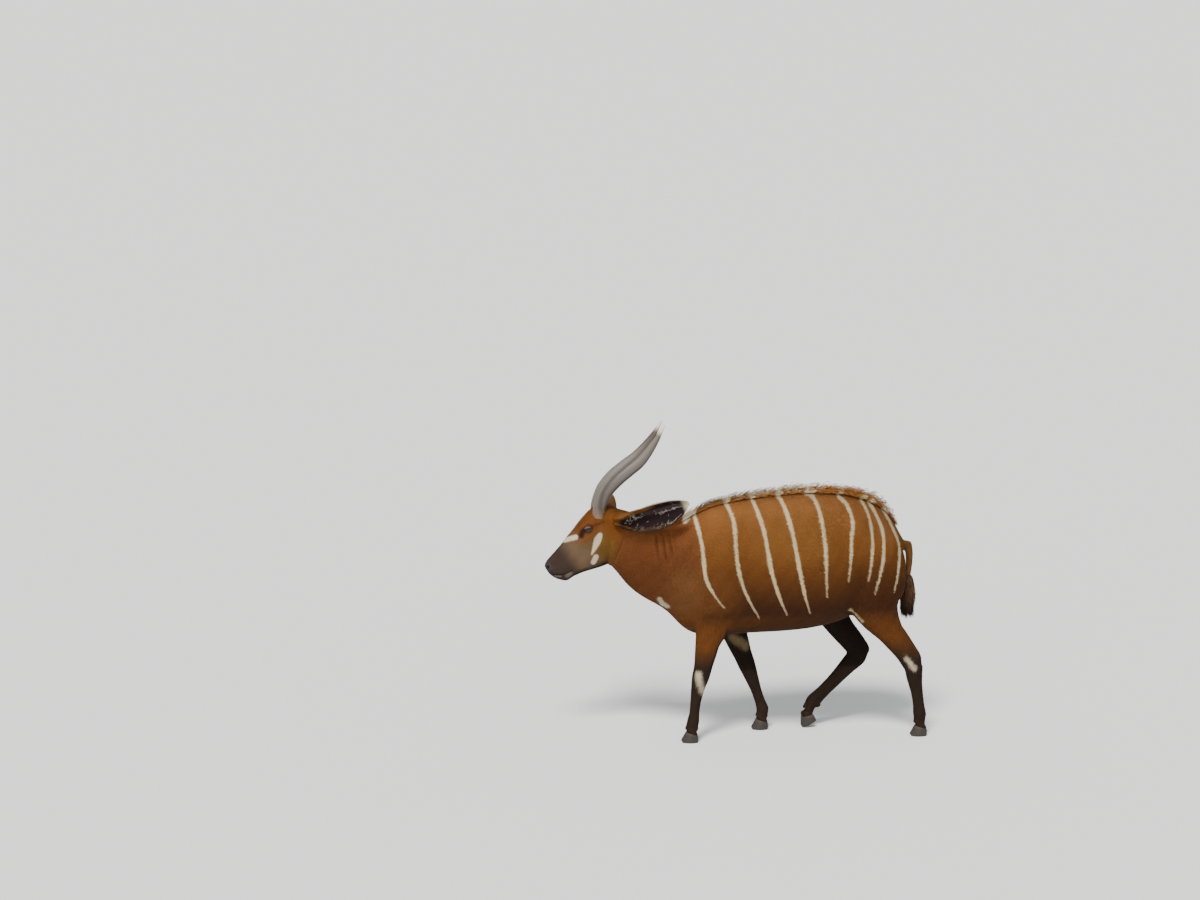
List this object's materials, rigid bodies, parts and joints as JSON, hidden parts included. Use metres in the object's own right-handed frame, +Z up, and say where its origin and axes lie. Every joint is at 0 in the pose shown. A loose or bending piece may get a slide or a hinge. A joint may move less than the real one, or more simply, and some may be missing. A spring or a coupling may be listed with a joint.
{
  "type": "bongo antelope",
  "caption": "Striped forest antelope walking in mid stride, with lyre-shaped horns, large cupped ears and a mane along its back, as a still life-size figure",
  "frame": {"origin": "middle of the underside of the box round the animal, on the floor under its belly", "axes": "+X from nose to tail, so the animal walks towards -X; +Y to its right side; +Z up"},
  "size_m": [1.8318, 0.6396, 1.5389],
  "materials": {
    "coat": "short chestnut coat, matt",
    "lower_leg": "short dark coat, matt",
    "ear": "short coat, matt",
    "eye": "dark and wet",
    "horn": "grey horn, satin, pale tip",
    "hoof": "dark horn, satin"
  },
  "bodies": {
    "root": {"head": "coat", "neck": "coat", "torso": "coat", "tail": "coat", "ear_left": "ear", "ear_right": "ear", "eye_left": "eye", "eye_right": "eye", "horn_left": "horn", "horn_right": "horn", "foreleg_left_upper": "coat", "foreleg_left_lower": "lower_leg", "foreleg_right_upper": "coat", "foreleg_right_lower": "lower_leg", "hindleg_left_upper": "coat", "hindleg_left_lower": "lower_leg", "hindleg_right_upper": "coat", "hindleg_right_lower": "lower_leg", "hoof_fore_left_outer": "hoof", "hoof_fore_left_inner": "hoof", "hoof_fore_right_outer": "hoof", "hoof_fore_right_inner": "hoof", "hoof_hind_left_outer": "hoof", "hoof_hind_left_inner": "hoof", "hoof_hind_right_outer": "hoof", "hoof_hind_right_inner": "hoof"}
  },
  "joints": []
}
